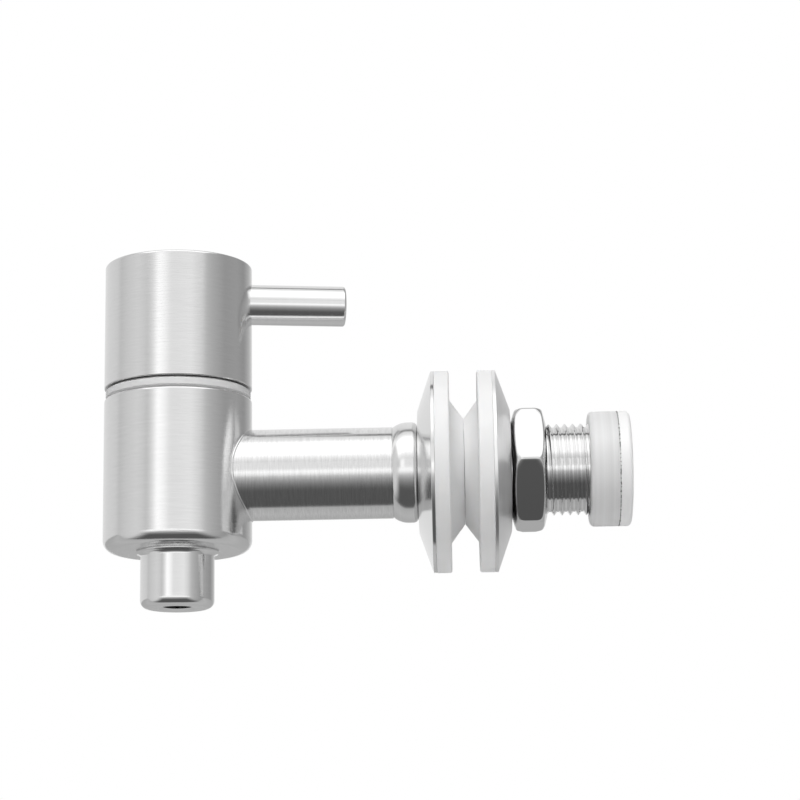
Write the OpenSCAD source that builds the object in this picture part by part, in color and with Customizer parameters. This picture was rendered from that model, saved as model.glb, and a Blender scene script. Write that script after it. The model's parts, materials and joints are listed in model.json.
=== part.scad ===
// Quarter-turn spigot for a drink dispenser, in millimetres.
// The origin is on the shank's axis, in the plane where the front gasket meets the vessel wall.
// +X runs along the shank into the vessel, +Z is up, and the barrel stands at -X.

/* [Barrel] */
// Distance from the barrel's axis to the vessel wall
reach = 47.8; // [42:0.1:70]
// Outside diameter of the barrel and the cap
barrel_d = 26; // [25:0.5:34]
// Barrel wall beside the water chamber
barrel_wall = 2; // [1.5:0.1:2]
// Top of the barrel above the shank's axis
barrel_top = 13.5; // [12.5:0.1:20]
// Bottom of the barrel below the shank's axis
barrel_bottom = 13.3; // [12.3:0.1:20]
// Thickness of the barrel's floor
floor_t = 3; // [2:0.1:4]
// Radius of the rounded foot
foot_round = 1.9; // [1:0.1:4]
// Depth of the bored neck that the cartridge screws into
neck_depth = 8; // [6.5:0.1:8]

/* [Handle] */
// Gap between barrel and cap, filled by the glide ring
seam_h = 2; // [1.5:0.1:3]
// Height of the cap
cap_h = 22.3; // [20:0.1:30]
// Wall of the cap
cap_wall = 2.2; // [1.5:0.1:2.5]
// Roof over the spindle's end
cap_roof = 2.8; // [2:0.1:4]
// Height of the pocket that clears the cartridge's head
cap_pocket = 4.4; // [4.2:0.1:5]
// Round of the cap's and the barrel's sharp edges
edge_round = 0.4; // [0.2:0.05:0.8]
// Lever diameter
lever_d = 7.2; // [6:0.1:9]
// Lever tip from the cap's axis
lever_reach = 29.7; // [24:0.1:60]
// Lever axis below the cap's top
lever_drop = 6.4; // [6:0.1:8]
// Thread on the lever's inner end
lever_thread_d = 5; // [4:0.1:5.5]
// Angle of the lever from the shank's direction, as stored
lever_angle = 8.6; // [0:0.1:80]

/* [Pipe and shank] */
// Outside diameter of the pipe
pipe_d = 16; // [15.5:0.1:18]
// Wall of the pipe
pipe_wall = 1.2; // [0.8:0.1:1.5]
// Outside diameter of the shank's thread
shank_d = 16; // [15:0.1:16.5]
// Bore through the shank
shank_bore = 11; // [8:0.1:12]
// End of the shank beyond the wall plane
shank_out = 28.5; // [26:0.1:60]
// Largest diameter of the flared collar
collar_d = 17.6; // [17:0.1:20]
// Length of the collar
collar_l = 4.4; // [4:0.1:8]
// Depth that the shank's tenon enters the pipe
tenon_l = 4; // [3:0.1:8]

/* [Washers and gaskets] */
// Diameter of the dished washers and the gaskets
washer_d = 35.3; // [32:0.1:44]
// Diameter of a dished washer's small flat end
cup_face_d = 21.5; // [20:0.1:24]
// Sheet thickness of a dished washer
cup_sheet = 0.6; // [0.4:0.05:1]
// Depth of the front washer over its rim
front_cup_h = 3; // [2:0.05:4]
// Depth of the rear washer over its rim
rear_cup_h = 3.05; // [2:0.05:4]
// Thickness of a gasket's rim
gasket_t = 2.6; // [2:0.1:4]
// Cone boss at its root
boss_root_d = 25; // [24:0.1:28]
// Cone boss at its tip
boss_tip_d = 18.5; // [18:0.1:22]
// Height of the cone boss
boss_h = 2.4; // [1.5:0.05:4]
// Round where the boss leaves the gasket's face
boss_fillet = 0.8; // [0.4:0.1:1.5]
// Gap between the two bosses with no wall between them
boss_gap = 0.05; // [0.05:0.01:0.3]

/* [Nut and strainer] */
// Nut across flats
nut_af = 20; // [19:0.1:24]
// Nut thickness
nut_t = 6; // [5:0.1:7]
// Outside diameter of the strainer
strainer_d = 20.1; // [19.5:0.1:24]
// Grip of the strainer's sleeve on the shank
sleeve_grip = 4.4; // [3:0.1:5]
// Lip that stops the sleeve at the shank's end
sleeve_lip = 0.5; // [0.3:0.05:0.8]
// Thickness of the strainer's mesh
mesh_t = 0.3; // [0.2:0.05:0.5]
// Square holes of the mesh
mesh_hole = 0.9; // [0.8:0.05:1.1]
// Pitch of the mesh
mesh_pitch = 1.5; // [1.4:0.05:2]
// Height of the end cap
end_cap_h = 2; // [1.5:0.1:3]
// Window in the end cap
end_cap_window_d = 14; // [10:0.1:15]

/* [Spout] */
// Spout diameter
spout_d = 12.9; // [12:0.1:14]
// Spout end below the shank's axis
spout_bottom = 23.2; // [20:0.1:40]
// Collar at the spout's root
spout_root_d = 14.6; // [14.2:0.1:16]
// Height of the flare below the barrel
spout_flare_h = 2.2; // [1:0.1:3]
// Round of the spout's lower edge
spout_round = 1.5; // [0.5:0.1:2]
// Outlet bore
outlet_d = 5; // [4:0.1:6]
// Countersink at the outlet's mouth
outlet_mouth_d = 6.5; // [6.2:0.1:8]

/* [Cartridge] */
// Cartridge body diameter
housing_d = 17.6; // [17.2:0.1:17.8]
// Cartridge body wall
housing_wall = 1.6; // [1.4:0.05:1.7]
// Hexagon head of the cartridge, across flats
head_af = 17; // [15:0.1:17.5]
// Height of the hexagon head above the barrel
head_h = 3.5; // [3:0.1:4]
// Width of the two side windows
window_w = 9; // [6:0.1:10]
// Height of the two side windows
window_h = 5; // [3:0.1:5.2]
// Thickness of each ceramic disc
disc_t = 2.5; // [2:0.1:3]
// Height of the rubber seat seal
seal_h = 2; // [1.5:0.1:2.5]
// Spread of each sector port in the discs
port_angle = 80; // [60:1:84]
// Spindle diameter
spindle_d = 8; // [7:0.1:8.5]
// Stop lugs: spread of each lug on the spindle
lug_angle = 40; // [30:1:50]
// Turn of the handle between its stops
turn_angle = 90; // [80:1:100]

/* [Hidden] */
$fn = 96;
eps = 0.01;

// Clearances
running = 0.05;
slip = 0.1;
thrust_gap = 0.15;
seat_gap = 0.02;

// Barrel and neck
barrel_r = barrel_d / 2;
chamber_r = barrel_r - barrel_wall;
chamber_floor = floor_t - barrel_bottom;
housing_r = housing_d / 2;
neck_step = 1;
neck_r = housing_r + neck_step;
neck_z = barrel_top - neck_depth;
barrel_x = -reach;

// Stack along the shank, outwards and inwards from the wall plane
shank_r = shank_d / 2;
washer_r = washer_d / 2;
hole_r = shank_r + slip;
front_rim_x = -gasket_t;
collar_end_x = front_rim_x - front_cup_h;
collar_start_x = collar_end_x - collar_l;
rear_face_x = 2 * boss_h + boss_gap;
rear_rim_x = rear_face_x + gasket_t;
rear_cup_x = rear_rim_x + rear_cup_h;
nut_x = rear_cup_x + thrust_gap;
sleeve_x = shank_out - sleeve_grip;
sleeve_end_x = shank_out + sleeve_lip;
strainer_r = strainer_d / 2;
cap_x = sleeve_end_x + mesh_t;

// Pipe and spout, with the tenons that enter them
pipe_r = pipe_d / 2;
pipe_bore_r = pipe_r - pipe_wall;
tenon_r = pipe_bore_r - seat_gap;
spout_r = spout_d / 2;
spout_shoulder = 2;
spout_tenon_r = spout_r - spout_shoulder;

// Cartridge levels, counted up from the chamber's floor
fixed_disc_z = chamber_floor + seal_h;
turning_disc_z = fixed_disc_z + disc_t;
drive_z = turning_disc_z + disc_t;
window_sill = 0.3;
window_z = drive_z + window_sill;
housing_bore_r = housing_r - housing_wall;
stop_z = window_z + window_h;
lug_h = 2.1;
washer_t = 0.5;
ceiling_z = stop_z + lug_h + washer_t + slip;
head_top_z = barrel_top + head_h;
head_corner_r = head_af / 2 / cos(30);
spindle_r = spindle_d / 2;
neck_bore_r = spindle_r + running;

// Ceramic discs, their ports, drive slot and ears
disc_r = housing_bore_r - slip;
port_inner_r = 2;
port_rim = 1.3;
port_outer_r = disc_r - port_rim;
disc_slot_w = 2.4;
disc_slot_depth = 1.3;
ear_w = 3;
ear_h = 1.6;

// Stop ribs of the housing, which the spindle's lugs meet at each end of the turn
rib_w = (housing_bore_r - spindle_r) / 2;
lug_margin = 0.5;
flange_r = housing_bore_r - rib_w - 2 * slip;

// Handle levels
cap_z = barrel_top + seam_h;
cap_top_z = cap_z + cap_h;
lever_z = cap_top_z - lever_drop;
cap_bore_top_z = cap_top_z - cap_roof;
end_gap = 0.3;
spindle_top_z = cap_bore_top_z - end_gap;
hub_wall = 3;
hub_r = spindle_r + hub_wall;
cap_bore_r = spindle_r + running;
cap_inner_r = barrel_r - cap_wall;
lever_r = lever_d / 2;
lever_sink = 0.9;
lever_seat = barrel_r - lever_sink;
lever_boss = 2;
flat_depth = 0.9;
clip_z = head_top_z + slip;
clip_t = 0.6;
clip_bite = 0.6;
clip_rim = 1.2;
clip_mouth = 70;

// O-rings
o_ring_r = 0.6;
o_ring_lead = 1.6;
o_ring_pitch = 2.8;
spindle_groove_r = neck_bore_r - 2 * o_ring_r - 2 * seat_gap;
spindle_o_zs = [ceiling_z + o_ring_lead, ceiling_z + o_ring_lead + o_ring_pitch];
housing_o_r = 0.85;
housing_groove_r = neck_r - 2 * housing_o_r - 2 * seat_gap;
housing_o_z = neck_z + o_ring_lead;

// Points of an arc in a turned profile
function arc(centre, radius, from, to, steps = 8) =
    [for (i = [0 : steps]) let (a = from + (to - from) * i / steps)
        [centre[0] + radius * cos(a), centre[1] + radius * sin(a)]];

// Radius of the arc that swings sideways by rise over a run
function swing(run, rise) = (run * run + rise * rise) / (2 * rise);

module on_barrel() {
    translate([barrel_x, 0, 0]) children();
}

// Turns a profile of radius and distance about the shank's axis
module on_shank() {
    rotate([0, 90, 0]) rotate_extrude() children();
}

module handle_turn() {
    on_barrel() rotate([0, 0, lever_angle]) children();
}

module tube(outer, inner, from, to) {
    translate([0, 0, from]) difference() {
        cylinder(r = outer, h = to - from);
        translate([0, 0, -1]) cylinder(r = inner, h = to - from + 2);
    }
}

// Half profile of a solid bar with rounded lower and upper edges
module bar_profile(radius, from, to, low_round, high_round) {
    polygon(concat(
        [[0, from]],
        arc([radius - low_round, from + low_round], low_round, -90, 0),
        arc([radius - high_round, to - high_round], high_round, 0, 90),
        [[0, to]]));
}

// A sector between two radii, centred on +X
module sector(inner, outer, angle, height) {
    rotate([0, 0, -angle / 2]) rotate_extrude(angle = angle)
        translate([inner, 0]) square([outer - inner, height]);
}

module both_sides() {
    for (a = [0, 180]) rotate([0, 0, a]) children();
}

module ceramic_disc(radius, height) {
    difference() {
        cylinder(r = radius, h = height);
        both_sides() translate([0, 0, -1]) sector(port_inner_r, port_outer_r, port_angle, height + 2);
    }
}

module o_ring(centre_r, minor_r, height) {
    translate([0, 0, height]) rotate_extrude() translate([centre_r, 0]) circle(r = minor_r);
}

module valve_body() {
    color("silver") on_barrel() difference() {
        rotate_extrude() bar_profile(barrel_r, -barrel_bottom, barrel_top, foot_round, edge_round);
        translate([0, 0, chamber_floor]) cylinder(r = chamber_r, h = neck_z - chamber_floor);
        translate([0, 0, neck_z - eps]) cylinder(r = neck_r, h = neck_depth + 1);
        translate([0, 0, -barrel_bottom - 1]) cylinder(r = spout_tenon_r, h = floor_t + 2);
        rotate([0, 90, 0]) cylinder(r = pipe_bore_r, h = barrel_d);
    }
}

module inlet_pipe() {
    color("silver") difference() {
        on_shank() translate([pipe_bore_r, barrel_x])
            square([pipe_wall, collar_start_x - barrel_x]);
        on_barrel() translate([0, 0, -pipe_d]) cylinder(r = barrel_r, h = 2 * pipe_d);
    }
}

// Tenon, flared collar and threaded tube, turned in one piece
module threaded_shank() {
    collar_r = collar_d / 2;
    rise = (collar_r - pipe_r) / 2;
    flare_share = 0.34;
    run = collar_l * flare_share;
    flare_r = swing(run, rise);
    flare_a = asin(run / flare_r);
    crest_x = collar_start_x + 2 * run;
    lip = 0.55;
    end_chamfer = 0.6;
    color("silver") on_shank() polygon(concat(
        [[shank_bore / 2, collar_start_x - tenon_l], [tenon_r, collar_start_x - tenon_l],
         [tenon_r, collar_start_x], [pipe_r, collar_start_x]],
        arc([pipe_r + flare_r, collar_start_x], flare_r, 180, 180 - flare_a),
        arc([collar_r - flare_r, crest_x], flare_r, -flare_a, 0),
        arc([collar_r - lip, collar_end_x - lip], lip, 0, 90),
        [[shank_r, collar_end_x], [shank_r, shank_out - end_chamfer],
         [shank_r - end_chamfer, shank_out], [shank_bore / 2, shank_out]]));
}

// The tenon fills the hole in the barrel's floor and carries the outlet bore
module outlet_spout() {
    flare = spout_root_d / 2 - spout_r;
    flare_r = swing(spout_flare_h, flare);
    flare_a = asin(spout_flare_h / flare_r);
    mouth_depth = 0.3;
    color("silver") on_barrel() rotate_extrude() polygon(concat(
        [[outlet_d / 2, chamber_floor], [spout_tenon_r - seat_gap, chamber_floor],
         [spout_tenon_r - seat_gap, -barrel_bottom], [spout_root_d / 2, -barrel_bottom]],
        arc([spout_r + flare_r, -barrel_bottom - spout_flare_h], flare_r, 180 - flare_a, 180),
        arc([spout_r - spout_round, spout_round - spout_bottom], spout_round, 0, -90),
        [[outlet_mouth_d / 2, -spout_bottom], [outlet_d / 2, mouth_depth - spout_bottom]]));
}

// The ring's rim stands back from the metal in two chamfers
module glide_ring() {
    rim_inset = 0.25;
    rim_r = barrel_r - rim_inset;
    notch = 0.5;
    low_rise = 0.45;
    high_drop = 0.35;
    inner_r = max(neck_r, head_corner_r) + 2 * slip;
    ring_top = cap_z - slip;
    color("whitesmoke") on_barrel() rotate_extrude() polygon([
        [inner_r, barrel_top], [rim_r - notch, barrel_top], [rim_r, barrel_top + low_rise],
        [rim_r, ring_top - high_drop], [rim_r - notch, ring_top], [inner_r, ring_top]]);
}

module handle_cap() {
    color("silver") handle_turn() difference() {
        rotate_extrude() bar_profile(barrel_r, cap_z, cap_top_z, edge_round / 2, edge_round);
        translate([0, 0, cap_z - 1]) cylinder(r = cap_inner_r, h = cap_pocket + 1);
        tube(cap_inner_r, hub_r, cap_z + cap_pocket - eps, lever_z - lever_r - lever_boss);
        translate([0, 0, cap_z - 1]) cylinder(r = cap_bore_r, h = cap_bore_top_z - cap_z + 1);
        translate([0, 0, lever_z]) rotate([0, 90, 0]) cylinder(r = lever_thread_d / 2, h = barrel_d);
        translate([lever_seat, 0, lever_z]) rotate([0, 90, 0]) cylinder(r = lever_r, h = barrel_d);
    }
}

// Its thread bears on the spindle's flat and holds the cap down
module lever() {
    tip_round = 0.45;
    flat_x = spindle_r - flat_depth;
    color("silver") handle_turn() translate([0, 0, lever_z]) rotate([0, 90, 0]) {
        rotate_extrude() bar_profile(lever_r, lever_seat, lever_reach, eps, tip_round);
        translate([0, 0, flat_x]) cylinder(r = lever_thread_d / 2, h = lever_seat - flat_x);
    }
}

// Dished sheet: flat centre, cone and a narrow rim, depth counted away from the gasket
module cup_washer(depth) {
    face_r = cup_face_d / 2;
    polygon([[hole_r, depth], [face_r, depth], [washer_r, cup_sheet], [washer_r, 0],
             [washer_r - cup_sheet, 0], [face_r - cup_sheet / 2, depth - cup_sheet],
             [hole_r, depth - cup_sheet]]);
}

// Gasket profile from its back at -gasket_t to the boss; the back cone fills the dished washer
module gasket(cup_h) {
    root_r = boss_root_d / 2;
    tip_r = boss_tip_d / 2;
    slope = atan2(boss_h, root_r - tip_r);
    back_r = cup_face_d / 2 - cup_sheet / 2;
    edge = 0.3;
    fillet_x = boss_fillet * tan(slope / 2);
    polygon(concat(
        [[hole_r, boss_h], [tip_r, boss_h]],
        arc([root_r + fillet_x, boss_fillet], boss_fillet, 270 - slope, 270, 4),
        arc([washer_r - edge, -edge], edge, 90, 0, 4),
        [[washer_r, -gasket_t], [washer_r - cup_sheet, -gasket_t],
         [back_r, -gasket_t - cup_h + cup_sheet], [hole_r, -gasket_t - cup_h + cup_sheet]]));
}

module front_cup_washer() {
    color("gainsboro") on_shank() translate([0, front_rim_x]) mirror([0, 1]) cup_washer(front_cup_h);
}

module front_gasket() {
    color("white") on_shank() gasket(front_cup_h);
}

module rear_gasket() {
    color("white") on_shank() translate([0, rear_face_x]) mirror([0, 1]) gasket(rear_cup_h);
}

module rear_cup_washer() {
    color("gainsboro") on_shank() translate([0, rear_rim_x]) cup_washer(rear_cup_h);
}

// Flats face up and down; both ends fall away from the bore in a flat cone
module hex_nut() {
    corner_r = nut_af / 2 / cos(30);
    face_lip = 0.4;
    face_r = shank_r + face_lip;
    slope = 15;
    drop = (corner_r - face_r) * tan(slope);
    lead_in = 0.35;
    color("gainsboro") translate([nut_x, 0, 0]) rotate([0, 90, 0]) difference() {
        intersection() {
            rotate([0, 0, 90]) cylinder(r = corner_r, h = nut_t, $fn = 6);
            rotate_extrude() polygon([[0, 0], [face_r, 0], [corner_r, drop],
                                      [corner_r, nut_t - drop], [face_r, nut_t], [0, nut_t]]);
        }
        translate([0, 0, -1]) cylinder(r = shank_r + running, h = nut_t + 2);
        for (end = [0, 1]) translate([0, 0, end * nut_t]) mirror([0, 0, end])
            translate([0, 0, -eps]) cylinder(r1 = shank_r + lead_in, r2 = shank_r, h = lead_in);
    }
}

module strainer_sleeve() {
    edge = 0.7;
    lip_reach = 1;
    lip_r = shank_r - lip_reach;
    color("whitesmoke") on_shank() polygon([
        [shank_r + running, sleeve_x], [strainer_r - edge, sleeve_x], [strainer_r, sleeve_x + edge],
        [strainer_r, sleeve_end_x], [lip_r, sleeve_end_x], [lip_r, shank_out + seat_gap],
        [shank_r + running, shank_out + seat_gap]]);
}

// Square holes in a disc that lies between the sleeve and the end cap
module strainer_mesh() {
    grid = floor(end_cap_window_d / 2 / mesh_pitch);
    open_r = end_cap_window_d / 2 - mesh_hole / 2;
    color("lightgray") translate([sleeve_end_x, 0, 0]) rotate([0, 90, 0]) linear_extrude(mesh_t)
        difference() {
            circle(r = strainer_r - slip);
            for (i = [-grid : grid], j = [-grid : grid])
                if (norm([i, j]) * mesh_pitch < open_r)
                    translate([i, j] * mesh_pitch) square(mesh_hole, center = true);
        }
}

module strainer_cap() {
    rim = 0.8;
    color("white") on_shank() polygon(concat(
        [[end_cap_window_d / 2, cap_x], [strainer_r, cap_x]],
        arc([strainer_r - rim, cap_x + end_cap_h - rim], rim, 0, 90),
        [[end_cap_window_d / 2, cap_x + end_cap_h]]));
}

// Body with two windows, stop ribs under its ceiling, O-ring groove, thread and hexagon head
module cartridge_housing() {
    rib_angle = 180 - turn_angle - lug_angle - 2 * lug_margin;
    rib_turn = turn_angle + lug_margin + (lug_angle + rib_angle) / 2;
    rib_bite = 0.2;
    color("goldenrod") on_barrel() {
        difference() {
            union() {
                translate([0, 0, fixed_disc_z])
                    cylinder(r = housing_r, h = neck_z + eps - fixed_disc_z);
                translate([0, 0, neck_z]) cylinder(r = neck_r - slip, h = neck_depth);
                translate([0, 0, barrel_top])
                    cylinder(r = head_corner_r, h = head_h, $fn = 6);
            }
            translate([0, 0, fixed_disc_z - 1])
                cylinder(r = housing_bore_r, h = ceiling_z + 1 - fixed_disc_z);
            translate([0, 0, fixed_disc_z])
                cylinder(r = neck_bore_r, h = head_top_z + 1 - fixed_disc_z);
            translate([0, 0, window_z + window_h / 2]) cube([barrel_d, window_w, window_h], true);
            rotate([0, 0, 90]) translate([0, 0, fixed_disc_z + ear_h / 2])
                cube([barrel_d, ear_w, ear_h + eps], true);
            tube(neck_r + 1, housing_groove_r, housing_o_z - housing_o_r - slip,
                 housing_o_z + housing_o_r + slip);
        }
        rotate([0, 0, rib_turn]) both_sides() translate([0, 0, stop_z])
            sector(housing_bore_r - rib_w, housing_bore_r + rib_bite, rib_angle,
                   ceiling_z - stop_z + eps);
    }
}

// Drive blade, stem, two stop lugs, two O-ring grooves, clip groove and the flat for the lever
module spindle() {
    stem_r = 3;
    blade_inset = 1.5;
    blade_l = 2 * (disc_r - blade_inset);
    blade_w = disc_slot_w - slip;
    color("goldenrod") handle_turn() difference() {
        union() {
            translate([-blade_l / 2, -blade_w / 2, drive_z - disc_slot_depth + slip])
                cube([blade_l, blade_w, disc_slot_depth + 1]);
            translate([0, 0, drive_z]) cylinder(r = stem_r, h = stop_z - drive_z + eps);
            translate([0, 0, stop_z]) cylinder(r = flange_r, h = lug_h);
            both_sides() translate([0, 0, stop_z])
                sector(stem_r, housing_bore_r - slip, lug_angle, lug_h);
            translate([0, 0, stop_z]) cylinder(r = spindle_r, h = spindle_top_z - stop_z);
        }
        for (z = spindle_o_zs)
            tube(spindle_r + 1, spindle_groove_r, z - o_ring_r - slip, z + o_ring_r + slip);
        tube(spindle_r + 1, spindle_r - clip_bite, clip_z, clip_z + clip_t + slip);
        translate([spindle_r - flat_depth, -spindle_r, lever_z - lever_thread_d / 2 - 1])
            cube([spindle_r, spindle_d, cap_h]);
    }
}

// Turned a quarter from the fixed disc while the valve is shut
module rotating_disc() {
    color("white") handle_turn() translate([0, 0, turning_disc_z]) difference() {
        rotate([0, 0, 90]) ceramic_disc(disc_r, disc_t);
        translate([0, 0, disc_t]) cube([2 * disc_r + 1, disc_slot_w, 2 * disc_slot_depth], true);
    }
}

module fixed_disc() {
    color("ivory") on_barrel() translate([0, 0, fixed_disc_z]) {
        ceramic_disc(disc_r, disc_t);
        rotate([0, 0, 90]) translate([0, 0, (ear_h - slip) / 2]) difference() {
            cube([2 * (housing_r - 2 * slip), ear_w - 2 * slip, ear_h - slip], true);
            cylinder(r = disc_r - slip, h = disc_t, center = true);
        }
    }
}

module seat_seal() {
    color("dimgray") on_barrel()
        tube(housing_r - 2 * slip, port_outer_r, chamber_floor, fixed_disc_z);
}

module spindle_o_rings() {
    color("black") handle_turn() for (z = spindle_o_zs)
        o_ring(neck_bore_r - seat_gap - o_ring_r, o_ring_r, z);
}

module housing_o_ring() {
    color("black") on_barrel() o_ring(neck_r - seat_gap - housing_o_r, housing_o_r, housing_o_z);
}

module slide_washer() {
    color("whitesmoke") handle_turn()
        tube(flange_r, neck_bore_r, stop_z + lug_h, stop_z + lug_h + washer_t);
}

module spindle_clip() {
    color("silver") handle_turn() difference() {
        tube(spindle_r + clip_rim, spindle_r - clip_bite + seat_gap, clip_z + slip / 2,
             clip_z + slip / 2 + clip_t);
        rotate([0, 0, 180]) translate([0, 0, clip_z - 1])
            sector(1, spindle_d, clip_mouth, clip_t + 2);
    }
}

valve_body();
inlet_pipe();
threaded_shank();
outlet_spout();
glide_ring();
handle_cap();
lever();
front_cup_washer();
front_gasket();
rear_gasket();
rear_cup_washer();
hex_nut();
strainer_sleeve();
strainer_mesh();
strainer_cap();
cartridge_housing();
spindle();
rotating_disc();
fixed_disc();
seat_seal();
spindle_o_rings();
housing_o_ring();
slide_washer();
spindle_clip();
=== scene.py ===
import json
import math

import bpy
from bpy.props import FloatProperty, FloatVectorProperty, PointerProperty
from mathutils import Matrix, Vector


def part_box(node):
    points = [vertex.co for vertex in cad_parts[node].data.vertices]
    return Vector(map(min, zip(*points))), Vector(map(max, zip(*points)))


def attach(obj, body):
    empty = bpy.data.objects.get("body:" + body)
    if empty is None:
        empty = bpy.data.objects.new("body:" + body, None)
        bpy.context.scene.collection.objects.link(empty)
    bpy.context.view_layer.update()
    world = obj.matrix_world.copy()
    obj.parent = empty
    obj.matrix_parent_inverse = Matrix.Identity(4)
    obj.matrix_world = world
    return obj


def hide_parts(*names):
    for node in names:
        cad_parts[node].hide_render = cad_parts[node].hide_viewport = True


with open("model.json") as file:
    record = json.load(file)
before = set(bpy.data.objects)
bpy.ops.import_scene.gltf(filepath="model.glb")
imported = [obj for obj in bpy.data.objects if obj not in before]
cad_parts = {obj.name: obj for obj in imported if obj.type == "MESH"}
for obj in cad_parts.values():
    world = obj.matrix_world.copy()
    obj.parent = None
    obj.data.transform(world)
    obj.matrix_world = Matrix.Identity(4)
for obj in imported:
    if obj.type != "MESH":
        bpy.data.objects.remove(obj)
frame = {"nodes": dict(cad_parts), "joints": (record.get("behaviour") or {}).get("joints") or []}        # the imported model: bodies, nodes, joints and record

bl_info = {
    "name": "Drink Dispenser Tap",
    "version": (1, 0, 0),
    "blender": (4, 5, 0),
    "location": "3D View > Sidebar > Drink Tap",
    "description": "Builds the finished pieces of a quarter-turn drink dispenser tap",
    "category": "Object",
}

MM = 0.001
TURN_STEPS = 144
ARC_STEPS = 6
THREAD_STEPS = 96
PRESS_HALVINGS = 24
PANEL_STEPS = 64
WIRE_SIDES = 6
WIRE_STEPS = 4           # lengths of wire in one pitch of the mesh
FIT = 0.02 * MM          # clearance between pieces that are pressed or welded together
MERGE = 1e-6
SMOOTH_ANGLE = math.radians(32)
OWN = "tap_"             # starts the names of the scene's own materials
NOISE_SPAN = (0.3, 0.7)  # the levels between which most of a noise lies
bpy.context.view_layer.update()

# Light that mirrors see: (angle in degrees, level) round Z from the front for the walls,
# and round the shank from the front upwards for the rest
BRIGHTEST = 1.5
WALL_LIGHT = (
    (-180, 0.88), (-145, 0.8), (-115, 0.75), (-104, 0.72), (-95, 0.62), (-80, 0.7), (-60, 0.77),
    (-50, 0.72), (-43, 0.63), (-35, 0.85), (-26, 1.28), (-16, 1.12), (-7, 0.9), (2, 0.9), (25, 0.95),
    (39, 0.78), (49, 0.57), (60, 0.48), (83, 0.36), (110, 0.38), (130, 0.33), (150, 0.5), (180, 0.88))
SOFTBOX_LIGHT = ((20, 0.8), (27, 0.9), (34, 1.1), (42, 1.42), (76, 1.45), (87, 0.95), (104, 0.85))
CEILING_GAP_LIGHT = ((97, 0.15), (108, 0.15))
TABLE_LIGHT = (
    (-102, 0.1), (-75, 0.105), (-50, 0.105), (-42, 0.15), (-34, 0.23), (-25, 0.36), (-15, 0.6),
    (-8, 1.1), (-3, 1.25), (5, 1.1))
REAR_FLOOR_LIGHT = ((-176, 0.45), (-152, 0.48), (-129, 0.54), (-94, 0.48))

# The lamp, and the camera as it was fitted to the photograph. Metres, watts, degrees and millimetres
LAMP_PLACE = Vector((-0.05, -0.51, 0.61))
LAMP_SIZE = 0.4
LAMP_POWER = 3.8
CAMERA_AIM = Vector((-0.00865, 0, 0.013054))
CAMERA_DISTANCE = 0.43419
CAMERA_TURN = 1.28
CAMERA_RISE = -12.606
CAMERA_LEAN = -0.849
CAMERA_LENS = 110.889
CAMERA_SENSOR = 36


def joint_named(name):
    return next(joint for joint in frame["joints"] if joint["name"] == name)


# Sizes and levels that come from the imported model, in metres
BARREL_LOW, BARREL_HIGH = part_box("valve_body")
BARREL_X = joint_named("handle_turn")["pos_m"][0]
BARREL_R = BARREL_HIGH.x - BARREL_X
CAP_LOW, CAP_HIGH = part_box("handle_cap")
RING_LOW, RING_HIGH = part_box("glide_ring")
PIPE_LOW, PIPE_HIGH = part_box("inlet_pipe")
PIPE_R = PIPE_HIGH.z
SHANK_LOW, SHANK_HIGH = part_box("threaded_shank")
SPOUT_LOW, SPOUT_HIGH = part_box("outlet_spout")
LEVER_LOW, LEVER_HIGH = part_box("lever")
LEVER_Z = (LEVER_LOW.z + LEVER_HIGH.z) / 2
LEVER_R = (LEVER_HIGH.z - LEVER_LOW.z) / 2
LEVER_ANGLE = -math.radians(joint_named("handle_turn")["range_deg"][0])
FRONT_CUP_LOW, FRONT_CUP_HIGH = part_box("front_cup_washer")
REAR_CUP_LOW, REAR_CUP_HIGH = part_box("rear_cup_washer")
FRONT_GASKET_LOW, FRONT_GASKET_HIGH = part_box("front_gasket")
REAR_GASKET_LOW, REAR_GASKET_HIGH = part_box("rear_gasket")
WASHER_R = FRONT_CUP_HIGH.z
NUT_LOW, NUT_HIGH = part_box("hex_nut")
SLEEVE_LOW, SLEEVE_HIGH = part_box("strainer_sleeve")
MESH_LOW, MESH_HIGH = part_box("strainer_mesh")
END_CAP_LOW, END_CAP_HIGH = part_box("strainer_cap")

# An axis is its origin, its direction and the side on which profiles are drawn
BARREL_AXIS = (Vector((BARREL_X, 0, 0)), Vector((0, 0, 1)), Vector((1, 0, 0)))
SHANK_AXIS = (Vector((0, 0, 0)), Vector((1, 0, 0)), Vector((0, 0, 1)))
LEVER_AXIS = (
    Vector((BARREL_X, 0, LEVER_Z)),
    Vector((math.cos(LEVER_ANGLE), math.sin(LEVER_ANGLE), 0)),
    Vector((0, 0, 1)),
)


def length(name, text, value):
    return FloatProperty(
        name=name, description=text, default=value, unit="LENGTH", subtype="DISTANCE", precision=5)


def slope(name, text, degrees):
    return FloatProperty(
        name=name, description=text, default=math.radians(degrees), unit="ROTATION", subtype="ANGLE")


def share(name, text, value):
    return FloatProperty(name=name, description=text, default=value, min=0, max=1, subtype="FACTOR")


def colour(name, text, value):
    return FloatVectorProperty(
        name=name, description=text, default=value, size=3, min=0, max=1, subtype="COLOR")


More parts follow.
